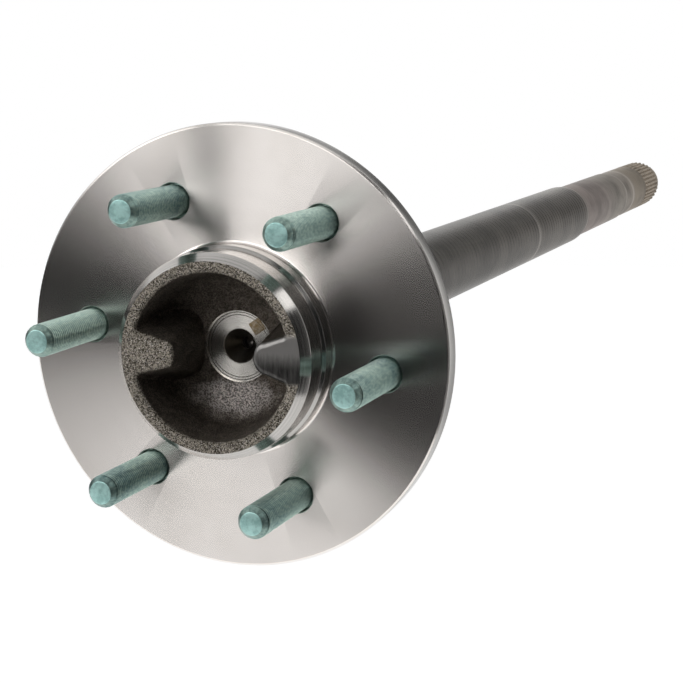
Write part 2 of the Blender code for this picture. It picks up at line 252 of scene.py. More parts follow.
@dataclass(frozen=True)
class Effects:
    """Shader node groups that several finishes share."""

    lathe_marks: Tree
    forge_scale: Tree
    handling: Tree

    @classmethod
    def build(cls) -> "Effects":
        """Build each group once."""
        return cls(cls._lathe_marks(), cls._forge_scale(), cls._handling())

    @staticmethod
    def _lathe_marks() -> Tree:
        """Fine rings that a turning tool leaves: across a face and along a cylinder alike."""
        wiring, given, result = new_tree(
            "lathe_marks", "ShaderNodeTree",
            {"Position": ("Vector", None), "Pitch": ("Float", 0.0004)},
            {"Height": "Float", "Streak": "Float"})
        x, y, z = wiring.split(given["Position"])
        path = (wiring.diagonal(x, z) + y) / given["Pitch"]
        wiring.feed(result, {"Height": wiring.noise_along(path, 1.0, 1.0),
                             "Streak": wiring.noise_along(path, 0.35, 3.0)})
        return wiring.tree

    @staticmethod
    def _forge_scale() -> Tree:
        """Pitted skin of a forging: its relief, its bright specks and its broad patches."""
        wiring, given, result = new_tree(
            "forge_scale", "ShaderNodeTree",
            {"Position": ("Vector", None), "Grain": ("Float", 0.001)},
            {"Height": "Float", "Grit": "Float", "Speck": "Float", "Patina": "Float"})
        place = wiring.add("ShaderNodeVectorMath", {0: given["Position"], 3: 1.0 / given["Grain"]},
                           operation="SCALE")
        coarse = wiring.noise(place, 0.9, 3.0, 0.6)
        fine = wiring.noise(place, 2.6, 3.0, 0.65)
        grains = wiring.add("ShaderNodeTexVoronoi", {"Vector": place, "Scale": 1.25})
        tone = wiring.add("ShaderNodeSeparateColor", {0: grains["Color"]})[0]
        wiring.feed(result, {
            "Height": grains["Distance"] * -0.5 + (fine * 0.45 + coarse),
            "Grit": wiring.rise(fine * 0.7 + tone * 0.5, 0.42, 0.86),
            "Speck": wiring.rise(wiring.noise(place, 1.3, 1.0), 0.60, 0.74),
            "Patina": wiring.noise(place, 0.13, 3.0, 0.55)})
        return wiring.tree

    @staticmethod
    def _handling() -> Tree:
        """Faint cloudy stains of oil and handling."""
        wiring, given, result = new_tree(
            "handling", "ShaderNodeTree",
            {"Position": ("Vector", None), "Amount": ("Float", 0.2)}, {"Stain": "Float"})
        cloud = wiring.rise(wiring.noise(given["Position"], 24.0, 4.0, 0.6), 0.42, 0.68)
        wiring.feed(result, {"Stain": cloud * given["Amount"]})
        return wiring.tree


class Surface:
    """A material under construction: its wiring, its shader and its object coordinates."""

    def __init__(self, name: str, metallic: float, anisotropic: float = 0.0) -> None:
        """Start a material on a Principled shader."""
        self.material = bpy.data.materials.new(name)
        self.material.use_nodes = True
        self.wiring = Wiring(self.material.node_tree)
        self.shader = self.material.node_tree.nodes["Principled BSDF"]
        self.position = self.wiring.add("ShaderNodeTexCoord")["Object"]
        self.x, self.y, self.z = self.wiring.split(self.position)
        self.wiring.feed(self.shader, {"Metallic": metallic})
        if anisotropic:
            self.wiring.feed(self.shader, {
                "Anisotropic": anisotropic, "Anisotropic Rotation": 0.25,
                "Tangent": self.wiring.add("ShaderNodeTangent", direction_type="RADIAL", axis="Y")})

    def effect(self, tree: Tree, **values: object) -> Outputs:
        """Place a shared effect at the object's position, and give its outputs."""
        return self.wiring.add("ShaderNodeGroup", {"Position": self.position, **values},
                               node_tree=tree)

    def radius(self) -> Value:
        """Distance from the axle's axis."""
        return self.wiring.diagonal(self.x, self.z)

    def finish(self, color: object, roughness: object, height: object = None,
               strength: float = 0.2, distance: float = 0.0002) -> Material:
        """Wire colour, roughness and relief into the shader.

        Args:
            color: what feeds the base colour.
            roughness: what feeds the roughness, or its value.
            height: what feeds the relief, if any.
            strength: strength of the relief.
            distance: its depth in metres.

        Returns:
            The finished material.
        """
        self.wiring.feed(self.shader, {"Base Color": color, "Roughness": roughness})
        if height is not None:
            self.wiring.feed(self.shader, {"Normal": self.wiring.add("ShaderNodeBump", {
                "Strength": strength, "Distance": distance, "Height": height})})
        return self.material


@dataclass(frozen=True)
class TurnedSteel:
    """Bright satin steel, as it leaves the lathe: the flange's face."""

    color: Color = (0.85, 0.805, 0.770)
    dull: Color = (0.58, 0.53, 0.47)
    roughness: float = 0.27
    anisotropic: float = 0.91
    pitch: float = 0.0016
    stains: float = 0.16

    def material(self, effects: Effects) -> Material:
        """Build the material."""
        surface = Surface("turned_steel", 1.0, self.anisotropic)
        marks = surface.effect(effects.lathe_marks, Pitch=self.pitch)
        stain = surface.effect(effects.handling, Amount=self.stains)
        color = surface.wiring.mix(stain, self.color, self.dull)
        color = surface.wiring.shade(color, marks["Streak"] * 0.03 + 0.98)
        return surface.finish(color, self.roughness)


@dataclass(frozen=True)
class NoseSteel:
    """Wheel pilot and register: turned smoother than the flange, and a little darker."""

    color: Color = (0.48, 0.465, 0.445)
    dull: Color = (0.36, 0.34, 0.31)
    roughness: float = 0.18
    anisotropic: float = 0.55
    pitch: float = 0.0004
    stains: float = 0.25

    def material(self, effects: Effects) -> Material:
        """Build the material."""
        surface = Surface("nose_steel", 1.0, self.anisotropic)
        wiring = surface.wiring
        marks = surface.effect(effects.lathe_marks, Pitch=self.pitch)
        stain = surface.effect(effects.handling, Amount=self.stains)
        streak = wiring.rise(marks["Streak"], 0.30, 0.72)
        color = wiring.shade(wiring.mix(stain, self.color, self.dull), streak * 0.16 + 0.86)
        return surface.finish(color, streak * 0.04 + self.roughness, marks["Height"],
                              0.08, 0.00003)


@dataclass(frozen=True)
class PadSteel:
    """The machined pad on the cup's floor, with rings, a tan etched patch and a dark centre."""

    color: Color = (0.80, 0.77, 0.72)
    shadow: Color = (0.10, 0.09, 0.075)
    etched: Color = (0.25, 0.175, 0.085)
    roughness: float = 0.27
    anisotropic: float = 0.91
    pitch: float = 0.0007
    patch_centre: Point = (0.0081, 0.0089)
    patch_half: float = 0.0028
    patch_turn: float = math.radians(34.0)
    hole_edge: Span = (0.0075, 0.0072)
    rings: tuple[float, ...] = (0.01468, 0.0135)

    def material(self, effects: Effects) -> Material:
        """Build the material."""
        surface = Surface("pad_steel", 1.0, self.anisotropic)
        wiring, radius = surface.wiring, surface.radius()
        marks = surface.effect(effects.lathe_marks, Pitch=self.pitch)
        streak = wiring.rise(marks["Streak"], 0.35, 0.65)
        color = wiring.shade(self.color, streak * 0.06 + 0.94)
        for ring in self.rings:
            line = wiring.band(radius, ring, 0.00010, 0.00012)
            color = wiring.mix(line * 0.8, color, self.shadow)
        color = wiring.mix(self._patch(surface), color, self.etched)
        color = wiring.mix(wiring.rise(radius, *self.hole_edge), color, self.shadow)
        return surface.finish(color, self.roughness, marks["Height"], 0.03, 0.00003)

    def _patch(self, surface: Surface) -> Value:
        """Mask of a small square patch, turned on the pad."""
        wiring = surface.wiring
        turned = wiring.split(wiring.add("ShaderNodeMapping", {
            "Vector": surface.position, "Rotation": (0.0, self.patch_turn, 0.0)}))
        place = Matrix.Rotation(self.patch_turn, 3, "Y") @ Vector(
            (self.patch_centre[0], 0.0, self.patch_centre[1]))
        across, up = (wiring.band(turned[axis], place[axis], self.patch_half, 0.00025)
                      for axis in (0, 2))
        return across * up * (wiring.noise(surface.position, 900.0) * 1.1 + 0.30)


@dataclass(frozen=True)
class ForgedSteel:
    """As forged: a gritty rim, a cup that is nearly black inside with a bare patch low down that is
    partly a painted highlight, and one rib rubbed smooth, painted lighter on top and darker below.
    """

    rim_dark: Color = (0.034, 0.029, 0.022)
    rim_light: Color = (0.40, 0.36, 0.30)
    inside_dark: Color = (0.022, 0.018, 0.014)
    inside_light: Color = (0.28, 0.24, 0.20)
    # bare metal: of the rim's specks, and of the low cup patch, where it is also a painted
    # highlight
    bare_metal_and_highlight: Color = (0.90, 0.83, 0.79)
    rubbed: Color = (0.27, 0.26, 0.25)
    grain: float = 0.00056
    rim_edge: Span = (-0.0232, -0.0248)
    # centre and half-sizes of the low cup patch, placed where the upper light's reflection falls
    # (painted highlight)
    flaked_highlight_place: Corner = (-0.0005, 0.000, -0.0210)
    flaked_highlight_half: Corner = (0.0170, 0.016, 0.0083)
    rubbed_start: Span = (0.015, 0.018)
    rubbed_band: Corner = (0.0012, 0.0085, 0.003)
    # heights over which the rubbed rib goes from painted shade below to painted light above
    painted_light_edge: Span = (-0.0025, 0.0075)

    def material(self, effects: Effects) -> Material:
        """Build the material."""
        surface = Surface("forged_steel", 0.9)
        wiring = surface.wiring
        scale = surface.effect(effects.forge_scale, Grain=self.grain)
        grit = scale["Grit"]
        top = wiring.rise(surface.y, *self.rim_edge)
        pitted = (grit * 0.55 + 0.20) * (scale["Patina"] * 1.3 + 0.15)
        wall = wiring.mix(pitted, self.inside_dark, self.inside_light)
        patch_grit = wiring.math("MINIMUM", grit * 1.3 + 0.15, 1.0)
        # bright patch low in the cup: flaked scale, and a painted highlight where the reflection
        # falls
        wall = wiring.mix(self._flaked_highlight_place(surface) * patch_grit, wall, self.bare_metal_and_highlight)
        rim = wiring.mix(grit, self.rim_dark, self.rim_light)
        rim = wiring.mix(scale["Speck"] * 0.75, rim, self.bare_metal_and_highlight)
        rubbed = self._rubbed_place(surface)
        # rubbed rib top: brush marks, with painted light above its middle and painted shade below
        rim = wiring.mix(rubbed, rim, self._brushed_painted_light(surface))
        return surface.finish(wiring.mix(top, wall, rim), rubbed * top * -0.18 + 0.50,
                              scale["Height"] * (rubbed * -0.92 + 1.0), 0.7, 0.0006)

    def _flaked_highlight_place(self, surface: Surface) -> Value:
        """Mask of the low part of the cup where scale has flaked off to bare metal, placed and
        brightened where the upper light's reflection falls: partly a painted highlight.
        """
        wiring = surface.wiring
        offset = wiring.vector("SUBTRACT", surface.position, self.flaked_highlight_place)
        away = wiring.vector("LENGTH", wiring.vector("DIVIDE", offset, self.flaked_highlight_half))["Value"]
        cloud = wiring.noise(surface.position, 170.0, 4.0, 0.6)
        return wiring.rise(cloud * -0.9 + (away + 0.45), 1.30, 0.42)

    def _rubbed_place(self, surface: Surface) -> Value:
        """Mask of the right rib's top, which is rubbed smoother than the rest."""
        wiring = surface.wiring
        edge = wiring.noise(surface.position, 260.0) * 0.006 - 0.003
        return (wiring.rise(surface.x + edge, *self.rubbed_start)
                * wiring.band(surface.z, *self.rubbed_band))

    def _brushed_painted_light(self, surface: Surface) -> Value:
        """Colour with faint brush marks that run up and down, lighter on the upper half and darker
        below: painted light and painted shade.
        """
        wiring = surface.wiring
        squeezed = wiring.vector("MULTIPLY", surface.position, (1.0, 1.0, 0.12))
        lines = wiring.noise(squeezed, 900.0, 4.0, 0.65)
        # painted light on the rib's upper half, painted shade on its lower half
        upper = wiring.rise(lines * 0.0014 + surface.z, *self.painted_light_edge)
        return wiring.shade(self.rubbed, upper + (lines * 0.7 - 0.13))


@dataclass(frozen=True)
class BarSteel:
    """The long shaft: dark hardened steel with fine bands, heat tints, and lighter rings: painted
    highlights at the steps, and one line on the surface.
    """

    stops: tuple[tuple[float, Color], ...] = (
        (0.000, (0.110, 0.101, 0.092)), (0.040, (0.130, 0.121, 0.111)),
        (0.300, (0.140, 0.128, 0.114)), (0.590, (0.238, 0.214, 0.188)),
        (0.620, (0.350, 0.300, 0.278)), (0.680, (0.355, 0.310, 0.285)),
        (0.720, (0.355, 0.325, 0.288)), (0.780, (0.355, 0.318, 0.278)),
        (0.800, (0.350, 0.302, 0.245)), (0.850, (0.350, 0.302, 0.245)))
    rings: tuple[Span, ...] = (
        (0.457, 0.0014), (0.6050, 0.0024), (0.7580, 0.0024), (0.7885, 0.0018))
    # lighter ring colour: at the steps (0.605, 0.758, 0.7885) a painted highlight of the rounded
    # edges, at 0.457 a line on the surface
    ring_line_and_highlight: Color = (0.52, 0.48, 0.44)
    ring_soft: float = 0.0018
    length: float = 0.914
    feed: float = 0.0064
    pitch: float = 0.0009
    grain: float = 0.0020
    stains: float = 0.35
    forged_end: Span = (0.052, 0.040)
    step: Span = (0.600, 0.615)

    def material(self, effects: Effects) -> Material:
        """Build the material."""
        surface = Surface("bar_steel", 0.95, 0.55)
        wiring, along = surface.wiring, surface.y
        marks = surface.effect(effects.lathe_marks, Pitch=self.pitch)
        scale = surface.effect(effects.forge_scale, Grain=self.grain)
        stain = surface.effect(effects.handling, Amount=self.stains)["Stain"]
        drift = wiring.noise_along(along, 60.0, 2.0) * 2.0
        bands = wiring.math("SINE", along * (math.tau / self.feed) + drift) * 0.5 + 0.5
        level = bands * 0.20 + 0.25 + marks["Streak"] * 0.50 + scale["Patina"] * 0.80
        color = wiring.shade(wiring.shade(self._tints(surface), level), 1.0 - stain)
        # lighter rings: painted highlights at the steps, and one line on the surface
        for station, half in self.rings:
            ring = wiring.band(along, station, half, self.ring_soft)
            color = wiring.mix(ring * 0.60, color, self.ring_line_and_highlight)
        forged = wiring.rise(along, *self.forged_end)
        relief = scale["Height"] * forged * 3.0 + marks["Height"]
        roughness = bands * 0.05 + (wiring.rise(along, *self.step) * 0.14 + 0.27)
        return surface.finish(color, roughness, relief, 0.20, 0.00010)

    def _tints(self, surface: Surface) -> Value:
        """Colour by the distance from the wheel face."""
        ramp = surface.wiring.add("ShaderNodeValToRGB", {0: surface.y / self.length})
        elements = ramp.node.color_ramp.elements
        while len(elements) < len(self.stops):
            elements.new(0.5)
        for element, (station, color) in zip(elements, self.stops):
            element.position = station / self.length
            element.color = (*color, 1.0)
        return ramp[0]


@dataclass(frozen=True)
class SplineSteel:
    """Rolled splines and the lock button: brighter, and darker towards the roots of the teeth."""

    color: Color = (0.490, 0.425, 0.348)
    root: Color = (0.370, 0.308, 0.238)
    flank: Span = (0.01775, 0.01885)
    teeth_end: Span = (0.9005, 0.9012)
    pitch: float = 0.0008
    stains: float = 0.35

    def material(self, effects: Effects) -> Material:
        """Build the material."""
        surface = Surface("spline_steel", 0.95)
        wiring = surface.wiring
        marks = surface.effect(effects.lathe_marks, Pitch=self.pitch)
        stain = surface.effect(effects.handling, Amount=self.stains)["Stain"]
        crest = wiring.rise(surface.radius(), *self.flank)
        behind = wiring.rise(surface.y, *self.teeth_end)
        color = wiring.mix(wiring.most(crest, behind), self.root, self.color)
        color = wiring.shade(wiring.shade(color, marks["Streak"] * 0.4 + 0.75), 1.0 - stain)
        return surface.finish(color, stain * 0.3 + 0.56, marks["Height"], 0.15, 0.00008)


@dataclass(frozen=True)
class StudCoating:
    """Grey-green flake coating, darker in the thread roots with painted shade and dirt, turquoise
    where it pools on the tips.
    """

    crest: Color = (0.45, 0.61, 0.535)
    # colour of the thread roots: painted shade in the grooves, with dirt
    root: Color = (0.022, 0.038, 0.038)
    pooled: Color = (0.17, 0.28, 0.275)
    tip: Color = (0.50, 0.77, 0.73)
    tip_dull: Color = (0.31, 0.53, 0.50)
    grain: float = 0.0011
    stains: float = 0.6
    tip_edge: Span = (-0.0482, -0.0483)
    chamfer_edge: Span = (-0.0453, -0.0457)
    shank_edge: Span = (-0.002, 0.001)

    def material(self, effects: Effects) -> Material:
        """Build the material."""
        surface = Surface("stud_coating", 0.85)
        wiring = surface.wiring
        scale = surface.effect(effects.forge_scale, Grain=self.grain)
        stain = surface.effect(effects.handling, Amount=self.stains)
        ridge = wiring.add("ShaderNodeAttribute", attribute_name="ridge")["Fac"]
        drawn_out = wiring.vector("MULTIPLY", surface.position, (1.0, 0.4, 1.0))
        flakes = wiring.rise(wiring.noise(drawn_out, 950.0, 3.0, 0.7), 0.38, 0.62)
        side = wiring.mix(flakes * 0.55 + stain["Stain"], self.crest, self.pooled)
        plain = wiring.most(wiring.rise(surface.y, *self.shank_edge),
                            wiring.rise(surface.y, *self.chamfer_edge) * 0.66)
        # thread roots darker: painted shade with dirt; the chamfer and the hidden shank stay
        # plainer
        raised = wiring.most(wiring.rise(ridge, 0.62, 0.96), plain)
        side = wiring.mix(raised, self.root, side)
        blotch = wiring.rise(wiring.noise(surface.position, 260.0, 5.0, 0.7), 0.34, 0.62)
        tip = wiring.mix(blotch, self.tip_dull, self.tip)
        color = wiring.mix(wiring.rise(surface.y, *self.tip_edge), side, tip)
        return surface.finish(color, scale["Patina"] * 0.14 + 0.30, scale["Height"],
                              0.30, 0.00012)


def arc(centre: Point, radius: float, first: float, turn: float, steps: int) -> list[Point]:
    """Points along an arc.

    Args:
        centre: centre of the arc.
        radius: its radius.
        first: angle at which it starts.
        turn: angle that it covers.
        steps: facets.

    Returns:
        The points, both ends with them.
    """
    angles = [first + turn * step / steps for step in range(steps + 1)]
    return [(centre[0] + radius * math.cos(angle), centre[1] + radius * math.sin(angle))
            for angle in angles]


def line(first: Point, last: Point, steps: int) -> list[Point]:
    """Points along a straight line, with its last point and without its first."""
    return [(first[0] + (last[0] - first[0]) * i / steps,
             first[1] + (last[1] - first[1]) * i / steps) for i in range(1, steps + 1)]


def rounded(corners: list[Corner], points: int) -> list[Point]:
    """Round the corners of a profile.

    Args:
        corners: radius, height and fillet of each corner.
        points: facets of each fillet.

    Returns:
        The profile's (radius, height) points.
    """
    path: list[Point] = []
    for index, (radius, height, fillet) in enumerate(corners):
        if fillet <= 0.0 or index in (0, len(corners) - 1):
            path.append((radius, height))
            continue
        corner = Vector((radius, height))
        before = Vector(corners[index - 1][:2]) - corner
        after = Vector(corners[index + 1][:2]) - corner
        half = 0.5 * before.angle(after)
        run = min(fillet / math.tan(half), 0.48 * before.length, 0.48 * after.length)
        arc_radius = run * math.tan(half)
        middle = (before.normalized() + after.normalized()).normalized()
        centre = corner + middle * (arc_radius / math.sin(half))
        start = corner + before.normalized() * run - centre
        end = corner + after.normalized() * run - centre
        path += arc(centre, arc_radius, math.atan2(start.y, start.x), end.angle_signed(start),
                    points)
    return path


def link(name: str, data: object) -> Solid:
    """New object of the scene that shows the data."""
    made = bpy.data.objects.new(name, data)
    bpy.context.scene.collection.objects.link(made)
    return made


def as_object(name: str, bm: bmesh.types.BMesh) -> Solid:
    """Turn a bmesh into an object of the scene."""
    mesh = bpy.data.meshes.new(name)
    bm.to_mesh(mesh)
    bm.free()
    return link(name, mesh)


def as_solid(name: str, bm: bmesh.types.BMesh) -> Solid:
    """Turn a bmesh into an object of the scene, its faces outwards."""
    bmesh.ops.recalc_face_normals(bm, faces=bm.faces)
    return as_object(name, bm)


def lathe(name: str, profile: list[Point], steps: int, centre: Point = (0.0, 0.0)) -> Solid:
    """Turn a profile around an axis parallel to Z.

    Args:
        name: name of the object.
        profile: (radius, height) points, from axis to axis.
        steps: facets around.
        centre: where the axis stands.

    Returns:
        The closed solid.
    """
    bm = bmesh.new()
    turns = [2.0 * math.pi * i / steps for i in range(steps)]
    rings = []
    for radius, height in profile:
        around = turns if radius > 1e-6 else turns[:1]
        rings.append([bm.verts.new((centre[0] + radius * math.cos(t),
                                    centre[1] + radius * math.sin(t), height)) for t in around])
    for upper, lower in zip(rings, rings[1:]):
        for i in range(steps):
            j = (i + 1) % steps
            quad = (upper[i % len(upper)], upper[j % len(upper)],
                    lower[j % len(lower)], lower[i % len(lower)])
            bm.faces.new(list(dict.fromkeys(quad)))
    return as_solid(name, bm)


def loft(name: str, sections: list[list[Vector]]) -> Solid:
    """Closed solid through sections that have the same number of points."""
    bm = bmesh.new()
    rings = [[bm.verts.new(point) for point in section] for section in sections]
    count = len(rings[0])
    for upper, lower in zip(rings, rings[1:]):
        for i in range(count):
            j = (i + 1) % count
            bm.faces.new((upper[i], upper[j], lower[j], lower[i]))
    bm.faces.new(rings[0])
    bm.faces.new(rings[-1][::-1])
    return as_solid(name, bm)


def settle(made: Solid) -> None:
    """Keep the evaluated shape as the object's own mesh, and drop its modifiers."""
    bpy.context.view_layer.update()
    graph = bpy.context.evaluated_depsgraph_get()
    mesh = bpy.data.meshes.new_from_object(made.evaluated_get(graph))
    made.modifiers.clear()
    made.data = mesh


def joined(name: str, solids: list[Solid]) -> Solid:
    """One object from solids that stand apart, which are removed."""
    bm = bmesh.new()
    for solid in solids:
        bm.from_mesh(solid.data)
        bpy.data.objects.remove(solid)
    return as_solid(name, bm)


def subtract(target: Solid, cutters: list[Solid]) -> None:
    """Cut solids out of another, and remove them."""
    for cutter in cutters:
        boolean = target.modifiers.new("cut", "BOOLEAN")
        boolean.operation = "DIFFERENCE"
        boolean.solver = "EXACT"
        boolean.object = cutter
    settle(target)
    for cutter in cutters:
        bpy.data.objects.remove(cutter)


def run_tree(made: Solid, tree: Tree, values: dict[str, object]) -> None:
    """Run a geometry tree on an object and keep the result.

    Args:
        made: object whose mesh the tree is given.
        tree: the geometry tree.
        values: name and value of each of the tree's inputs.
    """
    modifier = made.modifiers.new(tree.name, "NODES")
    modifier.node_group = tree
    for item in tree.interface.items_tree:
        if item.in_out == "INPUT" and item.name in values:
            modifier[item.identifier] = values[item.name]
    settle(made)


def lay_level(made: Solid) -> None:
    """Face every shell outwards, shade it, and turn the mesh to the row's frame."""
    bm = bmesh.new()
    bm.from_mesh(made.data)
    bmesh.ops.recalc_face_normals(bm, faces=bm.faces)
    bm.to_mesh(made.data)
    bm.free()
    made.data.shade_smooth()
    made.data.set_sharp_from_angle(angle=SMOOTH_ANGLE)
    made.data.transform(LAY_LEVEL)
    made.data.update()


@dataclass(frozen=True)
class StudPattern:
    """Where the studs stand on the flange."""

    count: int = 6
    circle_radius: float = 67.5
    phase: float = math.radians(24.3)

    def centres(self) -> list[Point]:
        """Stud centres, clockwise as seen from the wheel side."""
        turns = [0.5 * math.pi + self.phase - 2.0 * math.pi * i / self.count
                 for i in range(self.count)]
        return [(self.circle_radius * math.cos(t), self.circle_radius * math.sin(t)) for t in turns]


@dataclass(frozen=True)
class Outside:
    """Turned outside of the forging: nose, flange, boss, and the shaft's steps."""

    steps: int = 360
    nose_height: float = 25.6
    rim_inner: float = 14.0
    rim_ring: float = 0.87
    rim_outer: float = 40.1
    pilot_radius: float = 43.5
    pilot_top: float = 21.4
    register_radius: float = 44.85
    register_height: float = 8.2
    register_chamfer: float = 1.2
    flange_radius: float = 95.15
    flange_thickness: float = 11.0
    face_chamfer: float = 0.9
    back_bevel: Span = (4.0, 2.0)
    boss_radius: float = 40.0
    boss_end: float = -36.0
    shaft_radius: float = 20.83
    joint: float = -300.0
    shoulder: float = -605.0
    lead: Span = (0.35, 6.0)
    shoulder_run: float = 4.0
    step_run: float = 2.0
    waist_radius: float = 19.35
    waist_end: float = -756.0
    neck_radius: float = 18.7
    neck_end: float = -788.0
    blank_radius: float = 18.95
    blank_end: float = -841.9
    root_radius: float = 17.75
    spline_start: float = -846.0
    spline_end: float = -901.0
    groove_radius: float = 13.5
    groove_end: float = -906.6
    button_radius: float = 16.6
    end: float = -913.99

    def profile(self) -> list[Point]:
        """The whole outside, from the axis at the nose to the axis at the splined end."""
        back = -self.flange_thickness
        bevel_run, bevel_depth = self.back_bevel
        lead_drop, lead_length = self.lead
        rim = [(self.rim_inner + self.rim_ring * i, self.nose_height, 0.0) for i in range(30)]
        hub = [
            (0.0, self.nose_height, 0.0), *rim, (self.rim_outer, self.nose_height, 0.25),
            (self.pilot_radius, self.pilot_top, 0.9),
            (self.pilot_radius, self.register_height + self.register_chamfer, 0.3),
            (self.register_radius, self.register_height, 0.35),
            (self.register_radius, 0.0, 1.4),
            (self.flange_radius - self.face_chamfer, 0.0, 0.6),
            (self.flange_radius, -self.face_chamfer, 0.6),
            (self.flange_radius, back + bevel_depth, 0.6),
            (self.flange_radius - bevel_run, back, 0.8),
            (self.boss_radius, back, 6.0), (self.shaft_radius, self.boss_end, 14.0),
            (self.shaft_radius, self.joint, 0.0)]
        shaft = [
            (self.shaft_radius, self.shoulder + lead_length, 1.0),
            (self.shaft_radius - lead_drop, self.shoulder, 0.5),
            (self.waist_radius, self.shoulder - self.shoulder_run, 3.0),
            (self.waist_radius, self.waist_end, 0.6),
            (self.neck_radius, self.waist_end - self.step_run, 1.0),
            (self.neck_radius, self.neck_end + self.step_run, 1.0),
            (self.blank_radius, self.neck_end, 0.6), (self.blank_radius, self.blank_end, 0.3),
            (self.root_radius, self.spline_start, 2.0), (self.root_radius, self.spline_end, 0.2),
            (self.groove_radius, self.spline_end, 0.5), (self.groove_radius, self.groove_end, 0.5),
            (self.button_radius, self.groove_end, 0.8), (self.button_radius, self.end, 0.9),
            (0.0, self.end, 0.0)]
        return rounded(hub, 5) + rounded(shaft, 3)


@dataclass(frozen=True)
class HubCup:
    """Forged cup in the hub, its two ribs, and the machined pad on its floor."""

    rim_height: float = 25.6
    mouth_radius: float = 37.1
    mouth_rounding: float = 1.8
    wall_draft: float = math.radians(8.0)
    corner_radius: float = 11.0
    floor_rise: float = math.radians(9.0)
    floor: float = -5.5
    rib_reach: Span = (19.2, 16.6)
    rib_lift: Span = (1.2, 0.2)
    rib_nose_length: Span = (5.0, 3.4)
    rib_nose_half: Span = (6.3, 5.3)
    rib_root_half: Span = (8.9, 8.4)
    rib_fillet: float = 2.0
    rib_side_draft: float = math.radians(14.0)
    rib_tip_draft: float = math.radians(1.5)
    pad_radius: float = 15.5
    pad_height: float = -6.4
    pad_clearance: float = 12.0
    pad_rings: tuple[Corner, ...] = ((14.9, 14.45, 0.14), (13.7, 13.3, 0.1))
    ring_flank: float = 0.1
    centre_radius: float = 7.4
    centre_chamfer: float = 0.25
    centre_cone: float = math.radians(30.0)
    drill_radius: float = 2.5
    drill_length: float = 5.0

    def wall_at(self, height: float) -> float:
        """Radius of the drafted wall at a height."""
        top = self.mouth_radius - self.mouth_rounding
        return top - (self.rim_height - self.mouth_rounding - height) * math.tan(self.wall_draft)

    def rounding(self, count: int = 6) -> list[Point]:
        """Drops below the rim and insets of the mouth's rounding."""
        turns = [0.5 * math.pi * i / count for i in range(count + 1)]
        return [(self.mouth_rounding * (1.0 - math.cos(t)),
                 self.mouth_rounding * (1.0 - math.sin(t))) for t in turns]

    def hollow_profile(self) -> list[Point]:
        """Hollow of the cup: rounded mouth, drafted wall, large corner, rising floor."""
        wall = self.mouth_radius - self.mouth_rounding
        above = self.rim_height + 3.0 * CUT_MARGIN
        points = [(0.0, above), (self.mouth_radius, above)]
        points += [(wall + inset, self.rim_height - drop) for drop, inset in self.rounding()]
        lift = self.corner_radius / math.cos(self.floor_rise)
        height = self.floor + lift
        radius = self.pad_radius
        for _ in range(8):
            radius = self.wall_at(height) - self.corner_radius / math.cos(self.wall_draft)
            rise = max(radius - self.pad_radius, 0.0) * math.tan(self.floor_rise)
            height = self.floor + rise + lift
        corner = arc((radius, height), self.corner_radius, -self.wall_draft,
                     -0.5 * math.pi + self.floor_rise + self.wall_draft, 18)
        points += line(points[-1], corner[0], 20)[:-1] + corner
        return points + line(corner[-1], (self.pad_radius, self.floor), 8) + [(0.0, self.floor)]

    def rib_section(self, index: int, reach: float, widening: float, inset: float,
                    wall_radius: float, height: float) -> list[Vector]:
        """Plan outline of a rib at one height.

        Args:
            index: 0 for the rib at the right, 1 for the rib at the left.
            reach: distance of the rib's tip from the axis.
            widening: how much the draft has widened the rib there.
            inset: the mouth's rounding there.
            wall_radius: radius of the cup's wall there.
            height: height of the section.

        Returns:
            The outline: blunt nose, spreading sides, fillets into the wall.
        """
        nose_half = self.rib_nose_half[index] + widening - inset
        root_half = self.rib_root_half[index] + widening - inset
        fillet = self.rib_fillet + inset
        foot = math.sqrt(wall_radius ** 2 - (root_half + fillet) ** 2) - fillet
        length = self.rib_nose_length[index]
        nose = [(reach + inset + length * (1.0 - math.cos(t)), nose_half * math.sin(t))
                for t in (0.5 * math.pi * (i + 1) / 12 for i in range(12))]
        side = line(nose[-1], (foot, root_half), 10)[:-1]
        root = [(foot + fillet * math.sin(t), root_half + fillet * (1.0 - math.cos(t)))
                for t in (0.5 * math.pi * i / 6 for i in range(7))]
        half = nose + side + root + [(wall_radius + fillet, root_half + fillet)]
        outline = [(reach + inset, 0.0)] + half + [(x, -y) for x, y in reversed(half)]
        place = (Matrix.Translation((0.0, self.rib_lift[index], height))
                 @ Matrix.Rotation(index * math.pi, 4, "Z"))
        return [place @ Vector((x, y, 0.0)) for x, y in outline]

    def rib(self, index: int) -> Solid:
        """One rib, with draft on its sides and tip, as the solid that the hollow leaves out."""
        wall, over = self.mouth_radius - self.mouth_rounding, 6.0 * CUT_MARGIN
        levels = [(self.rim_height + over, self.mouth_rounding, self.mouth_radius)]
        levels += [(self.rim_height - drop, inset, wall + inset) for drop, inset in self.rounding()]
        start = self.rim_height - self.mouth_rounding
        for i in range(1, 25):
            height = start + (self.floor - start) * i / 24
            levels.append((height, 0.0, self.wall_at(height)))
        levels.append((self.floor - over, 0.0, self.wall_at(self.floor)))
        deepest = self.rim_height - self.floor
        sections = []
        for height, inset, wall_radius in levels:
            depth = min(max(self.rim_height - height, 0.0), deepest)
            sections.append(self.rib_section(
                index, self.rib_reach[index] - depth * math.tan(self.rib_tip_draft),
                depth * math.tan(self.rib_side_draft), inset, wall_radius, height))
        return loft(f"rib_{index + 1}", sections)

    def hollow(self, steps: int) -> Solid:
        """The hollow to cut: the turned cup without its ribs."""
        hollow = lathe("hollow", self.hollow_profile(), steps)
        subtract(hollow, [self.rib(0), self.rib(1)])
        return hollow

